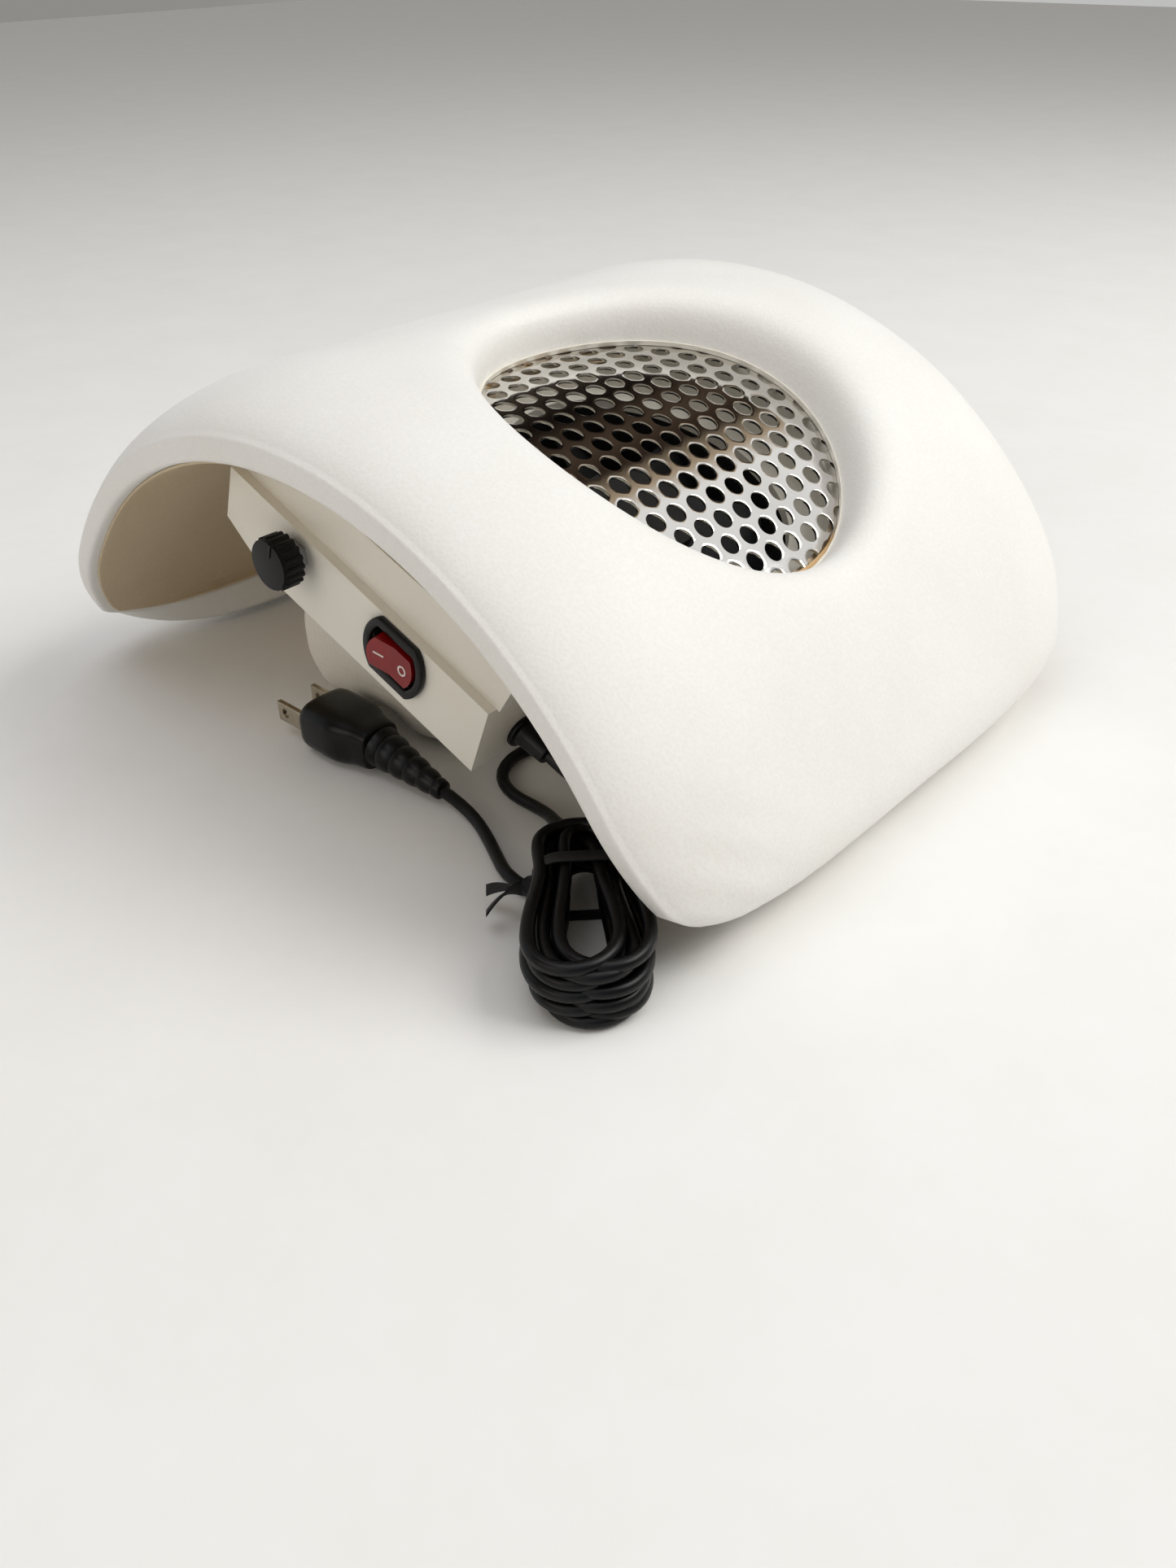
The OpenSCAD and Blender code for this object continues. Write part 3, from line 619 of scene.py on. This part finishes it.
def perforationTree():
    tree = bpy.data.node_groups.new("perforation", "GeometryNodeTree")
    for name in ("Pitch", "Half along", "Half across", "Bend radius", "Phase along", "Phase across"):
        tree.interface.new_socket(name, in_out="INPUT", socket_type="NodeSocketFloat")
    tree.interface.new_socket("Tile", in_out="INPUT", socket_type="NodeSocketObject")
    tree.interface.new_socket("Geometry", in_out="OUTPUT", socket_type="NodeSocketGeometry")
    given = addNode(tree, "NodeGroupInput").outputs

    def calc(operation, a, b=None, c=None):
        values, links = {}, {}
        for slot, item in ((0, a), (1, b), (2, c)):
            if item is None:
                continue
            (values if isinstance(item, (int, float)) else links)[slot] = item
        return addNode(tree, "ShaderNodeMath", values, links, operation=operation).outputs[0]

    rowStep = calc("MULTIPLY", given["Pitch"], math.sqrt(3))
    along, across = sheetMetal["rows"]
    grids = []
    for k in (0, 1):
        size = {"Size X": calc("MULTIPLY", rowStep, along), "Size Y": calc("MULTIPLY", given["Pitch"], across)}
        grid = addNode(tree, "GeometryNodeMeshGrid", {"Vertices X": along + 1, "Vertices Y": across + 1}, size)
        shift = addNode(tree, "ShaderNodeCombineXYZ", None, {
            "X": calc("MULTIPLY_ADD", rowStep, 0.5 * k, given["Phase along"]),
            "Y": calc("MULTIPLY_ADD", given["Pitch"], 0.5 * k, given["Phase across"])})
        grids.append(addNode(tree, "GeometryNodeSetPosition", None,
                             {"Geometry": grid.outputs["Mesh"], "Offset": shift.outputs[0]}).outputs[0])
    join = addNode(tree, "GeometryNodeJoinGeometry")
    for grid in grids:
        tree.links.new(grid, join.inputs[0])

    def position():
        here = addNode(tree, "GeometryNodeInputPosition").outputs[0]
        return addNode(tree, "ShaderNodeSeparateXYZ", None, {0: here}).outputs

    def moveTo(geometry, **parts):
        place = addNode(tree, "ShaderNodeCombineXYZ", None, parts).outputs[0]
        return addNode(tree, "GeometryNodeSetPosition", None,
                       {"Geometry": geometry, "Position": place}).outputs[0]

    def ovalReach(place, extra):
        parts = [calc("POWER", calc("DIVIDE", place[axis], calc("ADD", given[half], extra)), 2.0)
                 for axis, half in (("X", "Half along"), ("Y", "Half across"))]
        return calc("SQRT", calc("ADD", *parts))

    far = calc("GREATER_THAN", ovalReach(position(), sheetMetal["reach"] * mm), 1.0)
    kept = addNode(tree, "GeometryNodeDeleteGeometry", None, {"Geometry": join.outputs[0], "Selection": far},
                   domain="POINT")
    tile = addNode(tree, "GeometryNodeObjectInfo", None, {"Object": given["Tile"]}).outputs["Geometry"]
    tiles = addNode(tree, "GeometryNodeInstanceOnPoints", None, {"Points": kept.outputs[0], "Instance": tile})
    solid = addNode(tree, "GeometryNodeRealizeInstances", None, {"Geometry": tiles.outputs[0]})
    joined = addNode(tree, "GeometryNodeMergeByDistance", {"Distance": sheetMetal["shortest"] * mm},
                     {"Geometry": solid.outputs[0]}).outputs[0]
    # holes are spaced along the bent sheet, so their flat spacing shrinks towards its ends
    flat = position()
    lean = calc("SINE", calc("DIVIDE", flat["X"], given["Bend radius"]))
    chord = moveTo(joined, X=calc("MULTIPLY", lean, given["Bend radius"]), Y=flat["Y"])
    # whatever lies past the oval is drawn back onto it, so the sheet has an even edge
    place = position()
    shrink = calc("DIVIDE", 1.0, calc("MAXIMUM", ovalReach(place, 0.0), 1.0))
    trimmed = moveTo(chord, X=calc("MULTIPLY", place["X"], shrink), Y=calc("MULTIPLY", place["Y"], shrink))
    edge = position()
    angle = calc("ARCSINE", calc("DIVIDE", edge["X"], given["Bend radius"]))
    drop = calc("MULTIPLY", given["Bend radius"], calc("SUBTRACT", calc("COSINE", angle), 1.0))
    curved = moveTo(trimmed, X=edge["X"], Y=edge["Y"], Z=drop)
    finish = addNode(tree, "GeometryNodeSetMaterial", None, {"Geometry": curved})
    finish.inputs["Material"].default_value = materials["stainlessPolished"]
    addNode(tree, "NodeGroupOutput", None, {0: finish.outputs[0]})
    return tree


def runTree(name, tree, inputs, finish):
    data = bpy.data.meshes.new(name)
    obj = bpy.data.objects.new(name, data)
    scene.collection.objects.link(obj)
    modifier = obj.modifiers.new(name, "NODES")
    modifier.node_group = tree
    for item in tree.interface.items_tree:
        if item.in_out == "INPUT" and item.name in inputs:
            modifier[item.identifier] = inputs[item.name]
    applyModifiers(obj)
    if not obj.data.materials:
        obj.data.materials.append(materials[finish])
    return obj


def makeSheet():
    tile = makeTile()
    size = {"Tile": tile, "Pitch": sheetMetal["pitch"] * mm, "Bend radius": sheetMetal["radius"] * mm,
            "Phase along": sheetMetal["phase"][0] * mm, "Phase across": sheetMetal["phase"][1] * mm,
            "Half along": (arch["mouthAlong"] + sheetMetal["overlap"]) * mm,
            "Half across": (arch["mouthAcross"] + sheetMetal["overlap"]) * mm}
    obj = runTree("intakeSheet", perforationTree(), size, "stainlessPolished")
    bpy.data.objects.remove(tile)
    bm = bmesh.new()
    bm.from_mesh(obj.data)
    bmesh.ops.remove_doubles(bm, verts=bm.verts, dist=sheetMetal["weld"] * mm)
    bmesh.ops.dissolve_degenerate(bm, edges=bm.edges, dist=sheetMetal["shortest"] * mm)
    smallest = 2e-9     # square metres
    slivers = [f for f in bm.faces if f.calc_area() < smallest]
    bmesh.ops.delete(bm, geom=slivers, context="FACES")
    bmesh.ops.delete(bm, geom=[v for v in bm.verts if not v.link_faces], context="VERTS")
    bmesh.ops.recalc_face_normals(bm, faces=bm.faces)
    if sum(f.normal.z for f in bm.faces) < 0:
        bmesh.ops.reverse_faces(bm, faces=bm.faces)
    bm.to_mesh(obj.data)
    bm.free()
    wall = obj.modifiers.new("wall", "SOLIDIFY")
    wall.thickness, wall.offset = sheetMetal["thick"] * mm, -1
    edge = obj.modifiers.new("edge", "BEVEL")
    edge.width, edge.segments = sheetMetal["edgeRound"] * mm, 2
    edge.limit_method, edge.angle_limit = "ANGLE", 1.0
    applyModifiers(obj)
    obj.data.transform(Matrix.Translation((0, arch["mouthOff"] * mm, 0)) @ unitMatrix(sheetMetal["radius"]))
    shade(obj, 28)
    print("intake sheet faces:", len(obj.data.polygons))
    return obj


intake = makeSheet()

# moulded parts with softened edges
moulded = {
    # node: width of the rounded edge in mm, finish, slot, body
    "control_housing": (1.9, "absWhiteSatin", "white_abs", "body"),
    "speed_knob": (0.35, "absBlackSatin", "black_nylon", "knob"),
    "rocker_bezel": (0.7, "polycarbonateBlackGloss", "black_gloss", "body"),
    "rocker_button": (0.5, "polycarbonateRed", "red_lens", "rocker"),
    "plug_blades": (0.3, "nickelPlated", "nickel_blade", "body"),
    "cord_grommet": (0.5, "pvcBlack", "black_pvc", "body"),
}
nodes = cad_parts


def softenedCopy(node, width, finish):
    data = nodes[node].data.copy()
    data.materials.clear()
    obj = bpy.data.objects.new("soft_" + node, data)
    scene.collection.objects.link(obj)
    data.materials.append(materials[finish])
    bm = bmesh.new()
    bm.from_mesh(data)
    bmesh.ops.remove_doubles(bm, verts=bm.verts, dist=2e-6)
    bmesh.ops.dissolve_limit(bm, angle_limit=math.radians(0.6), verts=bm.verts, edges=bm.edges)
    bm.to_mesh(data)
    bm.free()
    edge = obj.modifiers.new("edge", "BEVEL")
    edge.width, edge.segments = width * mm, 3
    edge.limit_method, edge.angle_limit = "ANGLE", math.radians(34)
    applyModifiers(obj)
    shade(obj, 38)
    return obj


softened = {}
for node, (width, finish, slotName, body) in moulded.items():
    softened[node] = softenedCopy(node, width, finish)
    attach(softened[node], body)
    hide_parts(node)
print("moulded parts softened")

# plug, strain relief and tie
plug = {
    "at": (-26, -79.6, 8.3), "dip": 9,
    # along the plug: distance, half width, half height
    "body": [(0.0, 7.8, 6.2), (0.35, 8.8, 7.1), (1.2, 9.6, 7.7), (3, 9.95, 7.95), (12, 10.0, 8.0),
             (15, 9.9, 7.9), (17.5, 9.1, 7.6), (20, 8.0, 7.2), (22.5, 7.3, 6.9), (25.6, 7.0, 6.7),
             (26.6, 6.7, 6.4), (27, 6.0, 5.8)],
    "square": 3.4, "around": 48,
    "reliefLength": 26, "reliefWide": 6.5, "reliefThin": 2.9, "reliefSteps": 60,
    "ribs": 5, "grooveDepth": 0.9, "grooved": (0.03, 0.92),
}


def loft(name, sections, finish, square, around, sharp=40):
    verts, faces = [], []
    for x, half, high in sections:
        for i in range(around):
            a = 2 * math.pi * i / around
            c, s = math.cos(a), math.sin(a)
            power = 2 / square
            verts.append((x * mm, half * mm * math.copysign(abs(c) ** power, c),
                          high * mm * math.copysign(abs(s) ** power, s)))
    count = len(sections)
    for r in range(count - 1):
        for i in range(around):
            j = (i + 1) % around
            faces.append((r * around + i, r * around + j, (r + 1) * around + j, (r + 1) * around + i))
    faces.append(tuple(range(around - 1, -1, -1)))
    faces.append(tuple((count - 1) * around + i for i in range(around)))
    return meshObject(name, verts, faces, finish, sharpAngle=sharp)


def makePlug():
    lift = Matrix.Translation([v * mm for v in plug["at"]])
    bodyPiece = loft("plugBody", plug["body"], "pvcBlack", plug["square"], plug["around"])
    bodyPiece.data.transform(lift)
    sections = []
    length, wide, thin = plug["reliefLength"], plug["reliefWide"], plug["reliefThin"]
    first, last = plug["grooved"]
    for i in range(plug["reliefSteps"] + 1):
        part = i / plug["reliefSteps"]
        radius = wide + (thin - wide) * part
        ribbed = 0.5 + 0.5 * math.cos(2 * math.pi * plug["ribs"] * part)
        groove = 0
        if first < part < last:
            groove = plug["grooveDepth"] * (1 - ribbed ** 0.35) * (1 - 0.6 * part)
        sections.append((part * length, radius - groove, radius - groove))
    sections = [(-0.3, 5.2, 5.2)] + sections + [(length + 0.4, thin * 0.86, thin * 0.86)]
    relief = loft("plugRelief", sections, "pvcBlack", 2, 36, 50)
    relief.data.transform(lift @ Matrix.Translation((plug["body"][-1][0] * mm, 0, 0))
                          @ Matrix.Rotation(math.radians(plug["dip"]), 4, "Y"))
    return bodyPiece, relief


plugBody, plugRelief = makePlug()
tie = {
    "along": lead["tieAlong"], "wide": 3.8, "thick": 0.8, "halfWidth": 11.6,
    "top": 18.9, "low": 0.4, "corner": 6.0, "tail": 13, "tailSteps": 16,
}


def makeTie():
    turn = math.radians(lead["hankTurn"])
    outline = []
    hw, low, top, r = tie["halfWidth"], tie["low"], tie["top"], tie["corner"]
    corners = ((hw - r, top - r), (-hw + r, top - r), (-hw + r, low + r), (hw - r, low + r))
    for k, (cy, cz) in enumerate(corners):
        for i in range(9):
            a = math.radians(k * 90 + i * 11.25)
            outline.append((cy, cz, math.cos(a), math.sin(a)))
    verts, faces = [], []
    half, thick = tie["wide"] / 2, tie["thick"]
    ring = [(-half, 0.0), (-half, thick * 0.5), (-half * 0.6, thick), (half * 0.6, thick), (half, thick * 0.5),
            (half, 0.0)]
    for cy, cz, c, s in outline:
        for dx, dr in ring:
            verts.append((tie["along"] + dx, cy + (r + dr) * c, cz + (r + dr) * s))
    count, around = len(outline), len(ring)
    for i in range(count):
        j = (i + 1) % count
        for k in range(around):
            m = (k + 1) % around
            faces.append((i * around + k, i * around + m, j * around + m, j * around + k))
    # two flat tails, twisted together where they leave the band
    for tailIndex, (spread, rise) in enumerate(((-0.32, 2.0), (0.34, 5.0))):
        base = len(verts)
        steps = tie["tailSteps"]
        for i in range(steps + 1):
            part = i / steps
            reach = tie["tail"] * part
            roll = 3.2 * math.exp(-part * 3.4) + 0.35 * tailIndex
            cx = tie["along"] + spread * reach + 0.8 * math.sin(part * 5 + tailIndex)
            cy = -hw - 0.2 - reach * 0.94
            cz = 11.5 - 5.5 * part ** 0.8 + rise * math.sin(part * math.pi) * 0.5
            for u, v in ((-2.0, -0.55), (2.0, -0.55), (2.0, 0.55), (-2.0, 0.55)):
                verts.append((cx + u * math.cos(roll), cy, cz + u * math.sin(roll) * 0.9 + v))
        for i in range(steps):
            for k in range(4):
                m = (k + 1) % 4
                near, far = base + i * 4, base + (i + 1) * 4
                faces.append((near + k, near + m, far + m, far + k))
        faces.append((base + 3, base + 2, base + 1, base))
        faces.append(tuple(base + steps * 4 + k for k in range(4)))
    c, s = math.cos(turn), math.sin(turn)
    ax, ay = lead["hankAt"]
    placed = [((ax + x * c - y * s) * mm, (ay + x * s + y * c) * mm, max(0.3, z) * mm) for x, y, z in verts]
    return meshObject("leadTie", placed, faces, "tieBlack", sharpAngle=40)


leadTie = makeTie()
for piece, node, slotName in ((plugBody, "plug_body", "black_pvc"), (plugRelief, "plug_relief", "black_pvc"),
                              (leadTie, "cord_tie", "black_tie")):
    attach(piece, "body")
    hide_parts(node)
print("plug and tie made")

# dust bag
bag = {
    "voxel": 3.2, "smoothPasses": 14, "smoothFactor": 0.6,
    "pressure": 4.0, "frames": 20, "quality": 5, "tension": 12, "bending": 0.4,
    "cap": 4.5,                   # the most that a point may move while the bag fills
    "collar": 58,                 # how far from the arch's centre line the elastic grips the bag
    "gatherCount": 34, "gather": 0.9, "gatherRun": 13,
    "crease": 0.75, "sag": 1.6, "lowest": 0.9,
}


def makeBag():
    data = nodes["dust_bag"].data.copy()
    data.materials.clear()
    obj = bpy.data.objects.new("dustBag", data)
    scene.collection.objects.link(obj)
    data.materials.append(materials["nonwovenWhite"])
    bm = bmesh.new()
    bm.from_mesh(data)
    bmesh.ops.remove_doubles(bm, verts=bm.verts, dist=2e-6)
    bm.to_mesh(data)
    bm.free()
    remesh = obj.modifiers.new("remesh", "REMESH")
    remesh.mode, remesh.voxel_size = "VOXEL", bag["voxel"] * mm
    smooth = obj.modifiers.new("smooth", "SMOOTH")
    smooth.iterations, smooth.factor = bag["smoothPasses"], bag["smoothFactor"]
    applyModifiers(obj)
    start = [v.co.copy() for v in obj.data.vertices]
    cloth = obj.modifiers.new("cloth", "CLOTH")
    cloth.settings.quality = bag["quality"]
    cloth.settings.use_pressure = True
    cloth.settings.uniform_pressure_force = bag["pressure"]
    cloth.settings.tension_stiffness = bag["tension"]
    cloth.settings.bending_stiffness = bag["bending"]
    cloth.settings.effector_weights.gravity = 0
    cloth.point_cache.frame_start, cloth.point_cache.frame_end = 1, bag["frames"]
    for step in range(1, bag["frames"] + 1):
        scene.frame_set(step)
    applyModifiers(obj)
    scene.frame_set(1)
    for vert, was in zip(obj.data.vertices, start):
        move = vert.co - was
        if move.length > bag["cap"] * mm:
            vert.co = was + move.normalized() * bag["cap"] * mm
    obj.data.update()
    into = unitMatrix().inverted()
    normals = [v.normal.copy() for v in obj.data.vertices]
    for vert, normal, was in zip(obj.data.vertices, normals, start):
        local = into @ was
        below = max(0.0, bag["collar"] * mm - local.z)
        around = math.atan2(local.y + 5 * mm, local.x)
        near = math.exp(-below / (bag["gatherRun"] * mm))
        fold = math.sin(around * bag["gatherCount"] + 2.2 * noise.noise(was * 60)) * bag["gather"] * near
        crease = noise.ridged_multi_fractal(was * 34, 1.0, 2.1, 3, 1.0, 2.0) - 1.1
        sag = noise.noise(was * 22 + Vector((4, 1, 7))) * bag["sag"]
        push = (fold + crease * bag["crease"] + sag) * mm * min(1.0, 0.25 + below / (5 * mm))
        vert.co += normal * push
        vert.co.z = max(vert.co.z, bag["lowest"] * mm)
    fine = obj.modifiers.new("fine", "SUBSURF")
    fine.levels = fine.render_levels = 1
    applyModifiers(obj)
    shade(obj)
    return obj


dustBag = makeBag()
print("bag made")

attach(cover, "body")
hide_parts("padded_cover")
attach(foam, "body")
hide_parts("foam_pad")
for piece, node, slotName in ((board, "arch_board", "bent_board"), (lining, "inner_lining", "cream_lining"),
                              (intake, "intake_grille", "polished_steel"),
                              (dustBag, "dust_bag", "white_nonwoven")):
    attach(piece, "body")
    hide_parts(node)
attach(leadPiece, "body")
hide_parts("cord_inner", "cord_hank", "cord_free")

cadFinish = {
    "plywoodBare": ["arch_board"], "liningCream": ["inner_lining"], "stainlessPolished": ["intake_grille"],
    "absWhiteSatin": ["mouth_ring", "duct", "bag_collar", "control_housing", "housing_cover"],
    "epdmFoamGrey": ["duct_gasket"], "nylonBlackMatt": ["fan_frame", "fan_struts", "fan_rotor"],
    "absBlackSatin": ["speed_knob", "knob_pointer"], "steelLaminated": ["fan_stator"],
    "copperEnamelled": ["fan_coils", "board_choke"], "solderMaskGreen": ["fan_board", "circuit_board"],
    "steelGround": ["bearing_upper", "bearing_lower", "fan_shaft", "rotor_clip", "finger_guard", "pot_shaft",
                    "pot_nut"],
    "ferriteSintered": ["rotor_magnet"], "zincPlated": ["fan_screws", "housing_screws"],
    "elasticWoven": ["bag_elastic"], "nonwovenWhite": ["dust_bag"], "aluminiumStamped": ["pot_body"],
    "printWhite": ["rocker_marks"], "polycarbonateBlackGloss": ["rocker_bezel", "switch_body"],
    "polycarbonateRed": ["rocker_button"], "brassStamped": ["switch_terminals"],
    "resinOchre": ["board_capacitor"],
    "epoxyBlack": ["board_triac"], "wireRed": ["fan_wires"],
    "pvcBlack": ["cord_grommet", "cord_inner", "cord_hank", "cord_free", "plug_relief", "plug_body"],
    "tieBlack": ["cord_tie"], "nickelPlated": ["plug_blades"],
}
for finish, members in cadFinish.items():
    for member in members:
        part = nodes[member]
        part.data.materials.clear()
        part.data.materials.append(materials[finish])
print("finishes given to", len(nodes), "CAD nodes")
